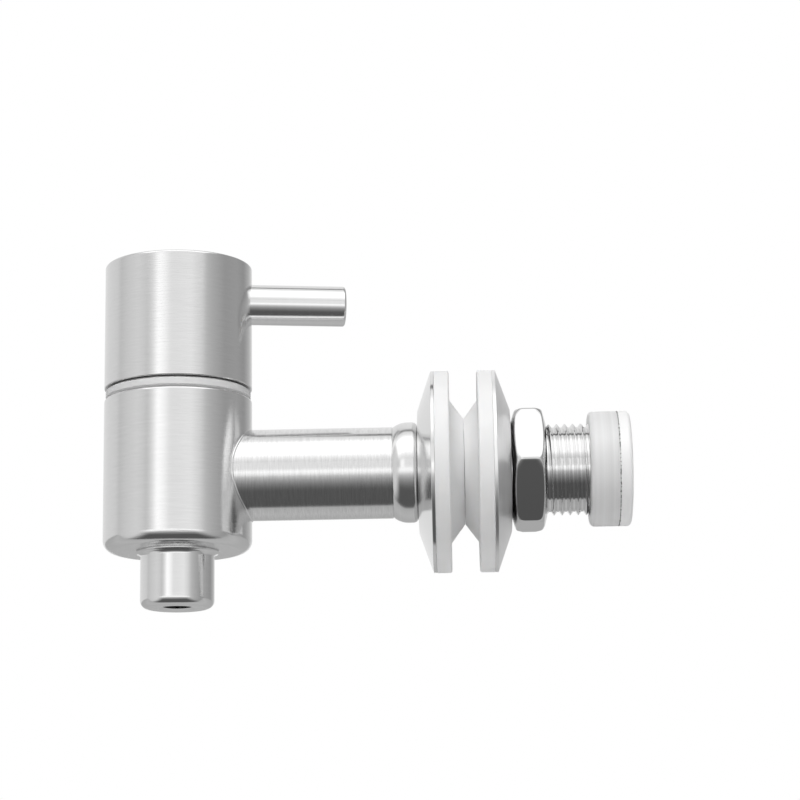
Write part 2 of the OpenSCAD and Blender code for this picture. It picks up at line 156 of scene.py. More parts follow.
class TapBarrelSizes(bpy.types.PropertyGroup):
    """Sizes of the barrel, the spout and the pipe"""
    foot_round: length("Foot round", "Radius of the barrel's rounded foot", 1.9 * MM)
    edge_round: length("Edge round", "Radius of the barrel's upper edge", 0.4 * MM)
    wall: length("Wall", "Barrel wall beside the water chamber", 2 * MM)
    floor: length("Floor", "Thickness of the barrel's floor", 3 * MM)
    neck_r: length("Neck radius", "Radius of the bored neck above the chamber", 9.8 * MM)
    neck_depth: length("Neck depth", "Depth of the bored neck", 8 * MM)
    pipe_wall: length("Pipe wall", "Wall of the inlet pipe", 1.2 * MM)
    weld_r: length("Weld bead", "Radius of the weld bead round the pipe's foot", 0.2 * MM)
    outlet_r: length("Outlet radius", "Radius of the outlet bore", 2.5 * MM)
    mouth_r: length("Mouth radius", "Radius of the outlet's countersink", 3.25 * MM)
    mouth_depth: length("Mouth depth", "Depth of the outlet's countersink", 0.3 * MM)
    spout_r: length("Spout radius", "Radius of the spout below its flare", 6.45 * MM)
    spout_flare: length("Spout flare", "Height of the spout's flare", 1.15 * MM)
    spout_round: length("Spout round", "Radius of the spout's lower edge", 1.3 * MM)
    spout_shoulder: length("Spout shoulder", "Step from the spout to its tenon", 2 * MM)


class TapHandleSizes(bpy.types.PropertyGroup):
    """Sizes of the turning cap and the lever"""
    low_round: length("Lower round", "Radius of the cap's lower edge", 0.2 * MM)
    top_round: length("Upper round", "Radius of the cap's upper edge", 0.4 * MM)
    wall: length("Wall", "Wall of the cap", 2.2 * MM)
    roof: length("Roof", "Roof over the spindle's end", 2.8 * MM)
    pocket: length("Pocket", "Height of the pocket over the cartridge's head", 4.4 * MM)
    hub_r: length("Hub radius", "Radius of the hub on the spindle", 7 * MM)
    bore_r: length("Bore radius", "Radius of the hub's bore", 4.05 * MM)
    lever_reach: length("Lever reach", "Lever tip from the cap's axis", 29.7 * MM)
    lever_thread_r: length("Thread radius", "Radius of the lever's inner end", 2.5 * MM)
    lever_sink: length("Lever sink", "Depth of the lever's seat in the cap", 0.9 * MM)
    lever_boss: length("Lever boss", "Metal kept under the lever", 2 * MM)
    flat_x: length("Flat", "Spindle flat from the cap's axis", 3.1 * MM)
    tip_round: length("Tip round", "Radius of the lever's tip edge", 0.45 * MM)


class TapShankSizes(bpy.types.PropertyGroup):
    """Sizes of the collar and the threaded shank"""
    thread_r: length("Thread radius", "Outside radius of the thread", 8 * MM)
    thread_depth: length("Thread depth", "Height of the thread", 0.6 * MM)
    pitch: length("Pitch", "Distance from crest to crest", 1.4 * MM)
    bore_r: length("Bore radius", "Radius of the bore through the shank", 5.5 * MM)
    collar_r: length("Collar radius", "Largest radius of the flared collar", 8.8 * MM)
    collar_l: length("Collar length", "Length of the collar", 4.4 * MM)
    collar_round: length("Collar round", "Radius of the collar's far edge", 1 * MM)
    end_chamfer: length("End chamfer", "Chamfer of the shank's end", 0.6 * MM)


class TapSealSizes(bpy.types.PropertyGroup):
    """Sizes of the dished washers, the gaskets and the nut"""
    hole_r: length("Hole radius", "Radius of the washers' and gaskets' hole", 8.1 * MM)
    cup_face_r: length("Cup face radius", "Radius of a washer's small flat end", 10.75 * MM)
    cup_sheet: length("Cup sheet", "Sheet thickness of a dished washer", 0.6 * MM)
    gasket_t: length("Gasket thickness", "Thickness of a gasket's rim", 2.6 * MM)
    boss_root_r: length("Boss root", "Radius of the cone boss at its root", 12.5 * MM)
    boss_tip_r: length("Boss tip", "Radius of the cone boss at its tip", 9.25 * MM)
    boss_fillet: length("Boss fillet", "Fillet at the boss's root", 0.8 * MM)
    gasket_edge: length("Gasket edge", "Round of the gasket's edge", 0.4 * MM)
    nut_face_r: length("Nut face radius", "Radius where the nut's end cones start", 8.4 * MM)
    nut_slope: slope("Nut slope", "Slope of the nut's end cones", 15)
    nut_edge: length("Nut edge", "Roundness of the nut's edges", 0.3 * MM)
    nut_shoulder_r: length("Nut shoulder", "Radius where the nut's corners start to fall away", 10.95 * MM)
    nut_shoulder_drop: length("Shoulder drop", "Distance of that start from the nut's end", 0.7 * MM)
    nut_shoulder_slope: slope("Shoulder slope", "Slope of the corners beyond that start", 58)
    nut_lead_in: length("Nut lead-in", "Chamfer at the ends of the nut's bore", 0.35 * MM)


class TapStrainerSizes(bpy.types.PropertyGroup):
    """Sizes of the strainer on the shank's end"""
    sleeve_edge: length("Sleeve edge", "Radius of the sleeve's rounded open end", 0.8 * MM)
    bore_r: length("Sleeve bore", "Radius of the sleeve's bore", 8.05 * MM)
    lip_r: length("Lip radius", "Radius inside the lip that stops the sleeve", 7 * MM)
    lip: length("Lip", "Thickness of that lip", 0.48 * MM)
    window_r: length("Window", "Radius of the end cap's window", 7 * MM)
    cap_round: length("Cap round", "Radius of the end cap's outer edge", 0.8 * MM)
    wire_r: length("Wire radius", "Radius of the mesh's wires", 0.075 * MM)
    wire_pitch: length("Wire pitch", "Distance between the mesh's wires", 0.69 * MM)


class TapFinishes(bpy.types.PropertyGroup):
    """Colours of the finishes"""
    brushed: colour("Brushed steel", "Barrel, cap and pipe", (0.79, 0.79, 0.79))
    polished: colour("Polished steel", "Spout, weld bead, collar, thread, lever and clip", (0.8, 0.8, 0.8))
    front_washer: colour("Mirror washer steel", "Front washer", (0.82, 0.82, 0.82))
    rear_washer: colour("Satin washer steel", "Rear washer", (0.95, 0.95, 0.95))
    plating: colour("Plating", "Nut", (0.71, 0.71, 0.71))
    silicone: colour("Silicone", "Gaskets", (0.862, 0.862, 0.862))
    white: colour("White plastic", "End cap of the strainer", (0.95, 0.95, 0.95))
    ring: colour("Ring plastic", "Glide ring and slide washer", (0.75, 0.75, 0.75))
    frosted: colour("Frosted plastic", "Strainer sleeve", (0.96, 0.96, 0.96))
    # The wire's colour is darkened as painted shade, for the shade that the strainer mesh lies in.
    wire: colour("Wire", "Strainer mesh", (0.25, 0.25, 0.25))
    brass: colour("Brass", "Cartridge", (0.72, 0.5, 0.2))
    ceramic: colour("Ceramic", "Valve discs", (0.88, 0.86, 0.8))
    rubber: colour("Rubber", "O-rings and seat seal", (0.02, 0.02, 0.02))


class TapStudio(bpy.types.PropertyGroup):
    """Light and backdrop"""
    floor_z: length("Floor level", "Level of the floor", -0.2)
    floor_size: length("Floor size", "Length of the floor's sides", 60)
    floor_colour: colour("Floor colour", "Colour of the floor", (0.86, 0.86, 0.86))
    floor_glow: share("Floor glow", "How much paler the floor is seen than it is lit", 0.4)
    ambient: share("Ambient light", "Light of the surroundings on matte surfaces", 0.41)


# Modelling helpers

def clear_selection():
    bpy.ops.object.select_all(action="DESELECT")


def place_in_mesh(name):
    """Names the new object and puts its place in its mesh."""
    piece = bpy.context.object
    piece.name = name
    piece.data.name = name
    bpy.ops.object.transform_apply(location=True, rotation=True, scale=True)
    return piece


def make_active(piece):
    clear_selection()
    piece.select_set(True)
    bpy.context.view_layer.objects.active = piece


def rounded(corners):
    """Points of a profile whose corners are (radius, distance, round)."""
    points = []
    count = len(corners)
    for i, (r, h, radius) in enumerate(corners):
        corner = Vector((r, h))
        if radius == 0:
            points.append(corner)
            continue
        before = (Vector(corners[i - 1][:2]) - corner).normalized()
        after = (Vector(corners[(i + 1) % count][:2]) - corner).normalized()
        half = before.angle(after) / 2
        centre = corner + (before + after).normalized() * (radius / math.sin(half))
        first = corner + before * (radius / math.tan(half)) - centre
        last = corner + after * (radius / math.tan(half)) - centre
        for step in range(ARC_STEPS + 1):
            points.append(centre + first.slerp(last, step / ARC_STEPS) * radius)
    return points


def held(points, closed, gap=0.15 * MM):
    """Adds a point near both ends of each long stretch, so that flat faces shade flat."""
    ends = points[1:] + points[:1] if closed else points[1:]
    result = []
    for here, there in zip(points, ends):
        result.append(here)
        step = there - here
        if step.length > 4 * gap:
            near = step.normalized() * gap
            result += [here + near, there - near]
    if not closed:
        result.append(points[-1])
    return result


def draw_chain(name, points):
    """Draws a chain of edges through points in space, and stays in edit mode."""
    clear_selection()
    bpy.ops.mesh.primitive_plane_add(size=MM, location=points[0])
    piece = place_in_mesh(name)
    bpy.ops.object.mode_set(mode="EDIT")
    bpy.ops.mesh.select_all(action="SELECT")
    bpy.ops.mesh.merge(type="CENTER")
    for here, there in zip(points, points[1:]):
        bpy.ops.mesh.extrude_vertices_move(TRANSFORM_OT_translate={"value": there - here})
    return piece


def close_up():
    """Merges doubles and turns the normals outwards, in edit mode."""
    bpy.ops.mesh.select_all(action="SELECT")
    bpy.ops.mesh.remove_doubles(threshold=MERGE)
    bpy.ops.mesh.normals_make_consistent(inside=False)
    bpy.ops.object.mode_set(mode="OBJECT")


def turned(name, corners, axis, closed=True):
    """Spins a profile of (radius, distance, round) corners about an axis.
    A closed profile is a ring's section. An open one starts and ends on the axis."""
    origin, along, side = axis
    flat = held(rounded(corners), closed)
    points = [origin + side * p.x + along * p.y for p in flat]
    if closed:
        points.append(points[0])
    piece = draw_chain(name, points)
    bpy.ops.mesh.select_all(action="SELECT")
    bpy.ops.mesh.spin(steps=TURN_STEPS, angle=2 * math.pi, center=origin, axis=along)
    close_up()
    return piece


def cut_off(point, normal):
    """Cuts off all that lies beyond a plane and closes the cut, in edit mode."""
    bpy.ops.mesh.select_all(action="SELECT")
    bpy.ops.mesh.bisect(
        plane_co=point, plane_no=normal, use_fill=True, clear_outer=True, threshold=MERGE / 10)


def rod(name, radius, axis, start, end):
    """A plain cylinder from start to end along an axis, used to cut with."""
    origin, along, side = axis
    clear_selection()
    across = along.cross(side)
    turn = Matrix((side, across, along)).transposed()
    bpy.ops.mesh.primitive_cylinder_add(
        vertices=TURN_STEPS, radius=radius, depth=end - start,
        location=origin + along * (start + end) / 2, rotation=turn.to_euler())
    return place_in_mesh(name)


def combine(piece, other, operation):
    """Applies a boolean with another object, which is then deleted."""
    make_active(piece)
    bpy.ops.object.modifier_add(type="BOOLEAN")
    modifier = piece.modifiers[-1]
    modifier.operation = operation
    modifier.solver = "EXACT"
    modifier.object = other
    bpy.ops.object.modifier_apply(modifier=modifier.name)
    make_active(other)
    bpy.ops.object.delete()
    make_active(piece)
    return piece


def finish_piece(piece, body, material, slot, *nodes):
    """Shades a piece, gives it its finish and says what it rides on and stands for."""
    make_active(piece)
    bpy.ops.object.shade_smooth_by_angle(angle=SMOOTH_ANGLE)
    piece.data.materials.clear()
    piece.data.materials.append(material)
    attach(piece, body)
    if nodes:
        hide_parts(*nodes)
    return piece


# Finishes

def new_finish(name):
    """The scene's own material of that name, with its tree and shader where it is new."""
    own_name = OWN + name
    material = bpy.data.materials.get(own_name)
    if material:
        return material, None, None
    material = bpy.data.materials.new(own_name)
    material.use_nodes = True
    tree = material.node_tree
    shader = tree.nodes["Principled BSDF"]
    return material, tree, shader


def math_node(tree, operation, first, second=None):
    node = tree.nodes.new("ShaderNodeMath")
    node.operation = operation
    for socket, value in zip(node.inputs, (first, second)):
        if value is None:
            continue
        if isinstance(value, (int, float)):
            socket.default_value = value
        else:
            tree.links.new(value, socket)
    return node.outputs[0]


def mapped(tree, value, from_low, from_high, to_low, to_high):
    node = tree.nodes.new("ShaderNodeMapRange")
    node.inputs["From Min"].default_value = from_low
    node.inputs["From Max"].default_value = from_high
    node.inputs["To Min"].default_value = to_low
    node.inputs["To Max"].default_value = to_high
    tree.links.new(value, node.inputs["Value"])
    return node.outputs["Result"]


def set_roughness(tree, shader, value, middle, spread):
    """Varies the roughness by a share of itself, to both sides of its middle."""
    level = mapped(tree, value, *NOISE_SPAN, middle * (1 - spread), middle * (1 + spread))
    tree.links.new(level, shader.inputs["Roughness"])


def object_coordinates(tree):
    return tree.nodes.new("ShaderNodeTexCoord").outputs["Object"]


def noise(tree, vector, scale, detail=3, roughness=0.6):
    node = tree.nodes.new("ShaderNodeTexNoise")
    node.inputs["Scale"].default_value = scale
    node.inputs["Detail"].default_value = detail
    node.inputs["Roughness"].default_value = roughness
    tree.links.new(vector, node.inputs["Vector"])
    return node.outputs["Fac"]


def lathe_coordinates(tree, axis, around, along):
    """Coordinates that change slowly round an axis and quickly along it and away from it."""
    origin, direction, side = axis
    across = direction.cross(side)
    shift = tree.nodes.new("ShaderNodeVectorMath")
    shift.operation = "SUBTRACT"
    shift.inputs[1].default_value = origin
    tree.links.new(object_coordinates(tree), shift.inputs[0])
    parts = []
    for unit in (side, across, direction):
        dot = tree.nodes.new("ShaderNodeVectorMath")
        dot.operation = "DOT_PRODUCT"
        dot.inputs[1].default_value = unit
        tree.links.new(shift.outputs["Vector"], dot.inputs[0])
        parts.append(dot.outputs["Value"])
    u, v, h = parts
    squares = math_node(
        tree, "ADD", math_node(tree, "MULTIPLY", u, u), math_node(tree, "MULTIPLY", v, v))
    out = math_node(tree, "ADD", math_node(tree, "SQRT", squares), h)
    join = tree.nodes.new("ShaderNodeCombineXYZ")
    tree.links.new(math_node(tree, "MULTIPLY", u, around), join.inputs[0])
    tree.links.new(math_node(tree, "MULTIPLY", v, around), join.inputs[1])
    tree.links.new(math_node(tree, "MULTIPLY", out, along), join.inputs[2])
    return join.outputs["Vector"]


def set_bump(tree, shader, height, distance):
    bump = tree.nodes.new("ShaderNodeBump")
    bump.inputs["Strength"].default_value = 1
    bump.inputs["Distance"].default_value = distance
    tree.links.new(height, bump.inputs["Height"])
    tree.links.new(bump.outputs["Normal"], shader.inputs["Normal"])


def set_tint(tree, shader, value, colour_value, spread):
    """Varies the base colour by a share of itself."""
    ramp = tree.nodes.new("ShaderNodeValToRGB")
    low, high = ramp.color_ramp.elements
    low.position, high.position = NOISE_SPAN
    low.color = [c * (1 - spread) for c in colour_value] + [1]
    high.color = [min(1, c * (1 + spread)) for c in colour_value] + [1]
    tree.links.new(value, ramp.inputs["Fac"])
    tree.links.new(ramp.outputs["Color"], shader.inputs["Base Color"])


def lathe_metal(name, colour_value, axis, roughness, groove, depth, around, spread):
    """Metal with lathe or brushing marks round an axis.
    groove is the marks' spacing and depth their height, both in metres.
    Where roughness is None, the caller sets it."""
    material, tree, shader = new_finish(name)
    if tree is None:
        return material
    shader.inputs["Metallic"].default_value = 1.0
    vector = lathe_coordinates(tree, axis, around, along=1 / groove)
    marks = noise(tree, vector, scale=1, roughness=0.65)
    set_bump(tree, shader, marks, depth)
    set_tint(tree, shader, marks, colour_value, spread)
    if roughness is not None:
        set_roughness(tree, shader, marks, roughness, spread=0.15)
    return material


def brushed_barrel(finishes):
    return lathe_metal("brushed_barrel_steel", finishes.brushed, BARREL_AXIS,
                       roughness=0.1, groove=0.2 * MM, depth=0.014 * MM, around=280, spread=0.03)


def brushed_pipe(finishes):
    return lathe_metal("brushed_pipe_steel", finishes.brushed, SHANK_AXIS,
                       roughness=0.15, groove=0.2 * MM, depth=0.003 * MM, around=380, spread=0.09)


def polished_shank(finishes):
    """Satin on the collar and brighter on the thread."""
    name = "polished_shank_steel"
    collar_roughness = 0.17
    thread_roughness = 0.09
    is_new = OWN + name not in bpy.data.materials
    material = lathe_metal(name, finishes.polished, SHANK_AXIS,
                           roughness=None, groove=0.25 * MM, depth=0.003 * MM, around=60, spread=0.02)
    if is_new:
        tree = material.node_tree
        split = tree.nodes.new("ShaderNodeSeparateXYZ")
        tree.links.new(object_coordinates(tree), split.inputs[0])
        start = FRONT_CUP_LOW.x
        level = mapped(tree, split.outputs[0], start, start + MM, collar_roughness, thread_roughness)
        tree.links.new(level, tree.nodes["Principled BSDF"].inputs["Roughness"])
    return material


def polished_spout(finishes):
    return lathe_metal("polished_spout_steel", finishes.polished, BARREL_AXIS,
                       roughness=0.12, groove=0.3 * MM, depth=0.005 * MM, around=120, spread=0.02)


def satin_lever(finishes):
    return lathe_metal("satin_lever_steel", finishes.polished, LEVER_AXIS,
                       roughness=0.13, groove=0.25 * MM, depth=0.004 * MM, around=80, spread=0.02)


def satin_washer(finishes):
    return lathe_metal("satin_washer_steel", finishes.rear_washer, SHANK_AXIS,
                       roughness=0.38, groove=0.25 * MM, depth=0.003 * MM, around=80, spread=0.03)


def mirror_steel(name, colour_value, roughness):
    """Polished steel with the faintest wipe marks."""
    material, tree, shader = new_finish(name)
    if tree is None:
        return material
    shader.inputs["Metallic"].default_value = 1.0
    coordinates = object_coordinates(tree)
    wipes = noise(tree, coordinates, scale=900, detail=4, roughness=0.7)
    set_tint(tree, shader, wipes, colour_value, spread=0.01)
    set_roughness(tree, shader, wipes, roughness, spread=0.2)
    return material


def white_silicone(finishes):
    """Matte silicone rubber, slightly translucent, with a fine moulded skin."""
    material, tree, shader = new_finish("white_silicone")
    if tree is None:
        return material
    coordinates = object_coordinates(tree)
    skin = noise(tree, coordinates, scale=2600, detail=4)
    cloud = noise(tree, coordinates, scale=160, detail=2)
    set_bump(tree, shader, skin, distance=0.008 * MM)
    set_tint(tree, shader, cloud, finishes.silicone, spread=0.012)
    shader.inputs["Roughness"].default_value = 0.5
    shader.inputs["Subsurface Weight"].default_value = 0.12
    shader.inputs["Subsurface Scale"].default_value = 0.6 * MM
    shader.inputs["Subsurface Radius"].default_value = (1, 0.9, 0.8)
    return material


def moulded_plastic(name, colour_value, roughness=0.38):
    """Smooth moulded plastic with a trace of flow."""
    material, tree, shader = new_finish(name)
    if tree is None:
        return material
    coordinates = object_coordinates(tree)
    flow = noise(tree, coordinates, scale=300)
    set_tint(tree, shader, flow, colour_value, spread=0.012)
    set_bump(tree, shader, noise(tree, coordinates, scale=3000, detail=2), distance=0.004 * MM)
    set_roughness(tree, shader, flow, roughness, spread=0.1)
    return material


def frosted_plastic(name, colour_value, clearness, roughness):
    """Translucent plastic with soft bands of painted light and shade round it, as where a thread shows
    through.
    """
    material, tree, shader = new_finish(name)
    if tree is None:
        return material
    coordinates = object_coordinates(tree)
    frost = noise(tree, coordinates, scale=2400)
    rings = lathe_coordinates(tree, SHANK_AXIS, around=1.5, along=1 / MM)
    painted_thread_bands = noise(tree, rings, scale=1, detail=2)
    set_bump(tree, shader, frost, distance=0.006 * MM)
    # Painted light and shade: lighter and darker bands stand in for the thread seen through the sleeve.
    set_tint(tree, shader, painted_thread_bands, colour_value, spread=0.09)
    shader.inputs["Roughness"].default_value = roughness
    shader.inputs["Transmission Weight"].default_value = clearness
    shader.inputs["IOR"].default_value = 1.35
    return material


def painted_shade_wire_steel(finishes):
    """Drawn wire, dull, its colour darkened as painted shade."""
    material, tree, shader = new_finish("painted_shade_wire_steel")
    if tree is None:
        return material
    shader.inputs["Metallic"].default_value = 1.0
    coordinates = object_coordinates(tree)
    drawn = noise(tree, coordinates, scale=4000)
    # Painted shade: the dark wire colour stands in for the shade on the mesh.
    set_tint(tree, shader, drawn, finishes.wire, spread=0.08)
    set_roughness(tree, shader, drawn, middle=0.27, spread=0.26)
    return material


def machined_brass(finishes):
    return lathe_metal("machined_brass", finishes.brass, BARREL_AXIS,
                       roughness=0.24, groove=0.2 * MM, depth=0.008 * MM, around=60, spread=0.06)


def clip_steel(finishes):
    return lathe_metal("clip_steel", finishes.polished, BARREL_AXIS,
                       roughness=0.2, groove=0.2 * MM, depth=0.004 * MM, around=90, spread=0.04)


def lapped_ceramic(finishes):
    """Lapped ceramic, glossy and very finely speckled."""
    material, tree, shader = new_finish("lapped_ceramic")
    if tree is None:
        return material
    coordinates = object_coordinates(tree)
    speckle = noise(tree, coordinates, scale=5000, detail=2)
    set_tint(tree, shader, speckle, finishes.ceramic, spread=0.03)
    set_roughness(tree, shader, speckle, middle=0.13, spread=0.23)
    shader.inputs["Coat Weight"].default_value = 0.3
    return material


def black_rubber(finishes):
    """Soft rubber with a fine matte grain."""
    material, tree, shader = new_finish("black_rubber")
    if tree is None:
        return material
    coordinates = object_coordinates(tree)
    grain = noise(tree, coordinates, scale=3500, detail=4)
    set_bump(tree, shader, grain, distance=0.01 * MM)
    set_tint(tree, shader, grain, finishes.rubber, spread=0.2)
    set_roughness(tree, shader, grain, middle=0.575, spread=0.13)
    return material


# Operators, one for each piece or group of like pieces

class OBJECT_OT_tap_barrel(bpy.types.Operator):
    """Turn the barrel with its chamber, neck and side port, and weld the pipe's foot"""
    bl_idname = "object.tap_barrel"
    bl_label = "Barrel"

    def execute(self, context):
        sizes = context.scene.tap_barrel
        finishes = context.scene.tap_finishes
        tenon_r = sizes.spout_r - sizes.spout_shoulder
        floor_z = BARREL_LOW.z + sizes.floor
        neck_z = BARREL_HIGH.z - sizes.neck_depth
        chamber_r = BARREL_R - sizes.wall
        barrel = turned("barrel", [
            (tenon_r, BARREL_LOW.z, 0),
            (BARREL_R, BARREL_LOW.z, sizes.foot_round),
            (BARREL_R, BARREL_HIGH.z, sizes.edge_round),
            (sizes.neck_r, BARREL_HIGH.z, 0),
            (sizes.neck_r, neck_z, 0),
            (chamber_r, neck_z, 0),
            (chamber_r, floor_z, 0),
            (tenon_r, floor_z, 0),
        ], BARREL_AXIS)
        port_axis = (BARREL_AXIS[0], SHANK_AXIS[1], SHANK_AXIS[2])
        port = rod("port", PIPE_R - sizes.pipe_wall, port_axis, 0, 2 * BARREL_R)
        combine(barrel, port, "DIFFERENCE")
        finish_piece(barrel, "tap_body", brushed_barrel(finishes), "brushed_steel", "valve_body")
        self.weld(sizes, finishes)
        return {"FINISHED"}

    def weld(self, sizes, finishes):
        """A thin bead along the line where the pipe meets the barrel."""
        clear_selection()
        bpy.ops.mesh.primitive_torus_add(
            major_segments=TURN_STEPS, minor_segments=12, major_radius=PIPE_R,
            minor_radius=sizes.weld_r, location=(BARREL_X, 0, 0), rotation=(0, math.pi / 2, 0))
        bead = place_in_mesh("weld_bead")
        for vertex in bead.data.vertices:
            reach = min(abs(vertex.co.y), PIPE_R)
            vertex.co.x += math.sqrt(BARREL_R ** 2 - reach ** 2)
        finish_piece(bead, "tap_body", polished_spout(finishes), "polished_steel")


class OBJECT_OT_tap_pipe(bpy.types.Operator):
    """Turn the pipe and cope its end to the barrel"""
    bl_idname = "object.tap_pipe"
    bl_label = "Pipe"

    def execute(self, context):
        sizes = context.scene.tap_barrel
        bore_r = PIPE_R - sizes.pipe_wall
        chamfer = 0.12 * MM
        pipe = turned("pipe", [
            (bore_r, BARREL_X, 0),
            (PIPE_R, BARREL_X, 0),
            (PIPE_R, PIPE_HIGH.x - chamfer, 0),
            (PIPE_R - chamfer, PIPE_HIGH.x, 0),
            (bore_r, PIPE_HIGH.x, 0),
        ], SHANK_AXIS)
        cope = rod("cope", BARREL_R, BARREL_AXIS, -2 * PIPE_R, 2 * PIPE_R)
        combine(pipe, cope, "DIFFERENCE")
        finish_piece(pipe, "tap_body", brushed_pipe(context.scene.tap_finishes),
                     "brushed_pipe_steel", "inlet_pipe")
        return {"FINISHED"}


class OBJECT_OT_tap_shank(bpy.types.Operator):
    """Turn the tenon and collar and cut the thread"""
    bl_idname = "object.tap_shank"
    bl_label = "Threaded shank"

    def execute(self, context):
        sizes = context.scene.tap_shank
        collar_end = FRONT_CUP_LOW.x
        collar_start = collar_end - sizes.collar_l
        tenon_r = PIPE_R - context.scene.tap_barrel.pipe_wall - FIT
        groove = 0.12 * MM
        foot = collar_start + groove
        crown = collar_start + 0.6 * sizes.collar_l
        body = turned("shank", [
            (0, SHANK_LOW.x, 0),
            (tenon_r, SHANK_LOW.x, 0),
            (tenon_r, collar_start, 0),
            (PIPE_R - groove, collar_start, 0),
            *self.swell(sizes, foot, crown),
            (sizes.collar_r, collar_end, sizes.collar_round),
            (0, collar_end, 0),
        ], SHANK_AXIS, closed=False)
        thread = self.thread(sizes, collar_end)
        combine(body, thread, "UNION")
        bore = rod("bore", sizes.bore_r, SHANK_AXIS, SHANK_LOW.x - MM, SHANK_HIGH.x + MM)
        combine(body, bore, "DIFFERENCE")
        finish_piece(body, "tap_body", polished_shank(context.scene.tap_finishes),
                     "polished_steel", "threaded_shank")
        return {"FINISHED"}

    def swell(self, sizes, foot, crown, steps=14, fullness=2.2):
        """The flare from the pipe's radius to the collar's, flatter towards its crown."""
        rise = sizes.collar_r - PIPE_R
        shares = [i / steps for i in range(steps + 1)]
        return [(PIPE_R + rise * (1 - (1 - t) ** fullness), foot + (crown - foot) * t, 0) for t in shares]

    def thread(self, sizes, collar_end):
        """One pitch of the thread's outline, screwed along the shank and trimmed to its envelope."""
        crest = sizes.thread_r
        start = collar_end - 0.3 * MM
        trimmed_start = start + 0.1 * MM
        relief_end = collar_end + 0.6 * MM
        root = sizes.thread_r - sizes.thread_depth
        flat = sizes.pitch * 0.16
        flank = sizes.pitch / 2 - flat
        lead = start - 2 * sizes.pitch
        soft = 0.06 * MM
        outline = [
            (root, lead),
            (root, lead + flat / 2 + soft),
            (crest - soft, lead + flat / 2 + flank),
            (crest, lead + flat / 2 + flank + soft),
            (crest, lead + 1.5 * flat + flank - soft),
            (crest - soft, lead + 1.5 * flat + flank),
            (root, lead + sizes.pitch - flat / 2 - soft),
            (root, lead + sizes.pitch),
        ]
        origin, along, side = SHANK_AXIS
        points = [origin + side * r + along * h for r, h in outline]
        piece = draw_chain("thread", points)
        bpy.ops.object.mode_set(mode="OBJECT")
        make_active(piece)
        bpy.ops.object.modifier_add(type="SCREW")
        screw = piece.modifiers[-1]
        screw.axis = "X"
        screw.angle = 2 * math.pi
        screw.screw_offset = sizes.pitch
        screw.steps = THREAD_STEPS
        screw.render_steps = THREAD_STEPS
        screw.iterations = math.ceil((SHANK_HIGH.x - lead) / sizes.pitch) + 1
        screw.use_merge_vertices = False
        bpy.ops.object.modifier_apply(modifier=screw.name)
        bpy.ops.object.mode_set(mode="EDIT")
        bpy.ops.mesh.select_all(action="SELECT")
        bpy.ops.mesh.remove_doubles(threshold=MERGE)
        cut_off((start, 0, 0), (-1, 0, 0))
        cut_off((SHANK_HIGH.x, 0, 0), (1, 0, 0))
        close_up()
        envelope = turned("envelope", [
            (0, trimmed_start, 0),
            (root - soft, trimmed_start, 0),
            (root - soft, relief_end, 0),
            (crest + soft, relief_end + sizes.thread_depth, 0),
            (crest + soft, SHANK_HIGH.x - sizes.end_chamfer, 0),
            (crest + soft - sizes.end_chamfer, SHANK_HIGH.x + soft, 0),
            (0, SHANK_HIGH.x + soft, 0),
        ], SHANK_AXIS, closed=False)
        return combine(piece, envelope, "INTERSECT")


class OBJECT_OT_tap_spout(bpy.types.Operator):
    """Turn the spout with its flared root and countersunk outlet"""
    bl_idname = "object.tap_spout"
    bl_label = "Spout"

    def execute(self, context):
        sizes = context.scene.tap_barrel
        tenon_r = sizes.spout_r - sizes.spout_shoulder - FIT
        root_r = (SPOUT_HIGH.x - SPOUT_LOW.x) / 2
        top = SPOUT_HIGH.z
        root_z = BARREL_LOW.z
        groove = 0.14 * MM
        band = 0.15 * MM
        mouth_edge = 0.06 * MM
        countersink_edge = 0.05 * MM
        spout = turned("spout", [
            (sizes.outlet_r, top, 0),
            (tenon_r, top, 0),
            (tenon_r, root_z, 0),
            (root_r - groove, root_z, 0),
            (root_r, root_z - groove, 0),
            *self.flare(root_r, sizes.spout_r, root_z - groove - band, root_z - sizes.spout_flare),
            (sizes.spout_r, SPOUT_LOW.z, sizes.spout_round),
            (sizes.mouth_r, SPOUT_LOW.z, mouth_edge),
            (sizes.outlet_r, SPOUT_LOW.z + sizes.mouth_depth, countersink_edge),
        ], BARREL_AXIS)
        finish_piece(spout, "tap_body", polished_spout(context.scene.tap_finishes),
                     "polished_steel", "outlet_spout")
        return {"FINISHED"}

    def flare(self, wide, narrow, top, bottom, steps=9):
        """An arc from the root's edge down into the spout's side."""
        rise = wide - narrow
        drop = top - bottom
        radius = (drop ** 2 + rise ** 2) / (2 * rise)
        turn = math.asin(drop / radius)
        angles = [turn * (1 - i / steps) for i in range(steps + 1)]
        return [
            (narrow + radius * (1 - math.cos(angle)), bottom + radius * math.sin(angle), 0)
            for angle in angles
        ]


class OBJECT_OT_tap_glide_ring(bpy.types.Operator):
    """Turn the white ring between barrel and cap"""
    bl_idname = "object.tap_glide_ring"
    bl_label = "Glide ring"

    def execute(self, context):
        rim_r = (RING_HIGH.x - RING_LOW.x) / 2
        rim_low = RING_LOW.z + 0.45 * MM
        rim_high = RING_HIGH.z - 0.35 * MM
        rim_round = 0.1 * MM
        notch = 0.5 * MM
        play = 0.2 * MM
        inner_r = context.scene.tap_barrel.neck_r + play
        ring = turned("ring", [
            (inner_r, RING_LOW.z, 0),
            (rim_r - notch, RING_LOW.z, 0),
            (rim_r, rim_low, rim_round),
            (rim_r, rim_high, rim_round),
            (rim_r - notch, RING_HIGH.z, 0),
            (inner_r, RING_HIGH.z, 0),
        ], BARREL_AXIS)
        white = moulded_plastic("ring_plastic", context.scene.tap_finishes.ring)
        finish_piece(ring, "tap_body", white, "white_plastic", "glide_ring")
        return {"FINISHED"}


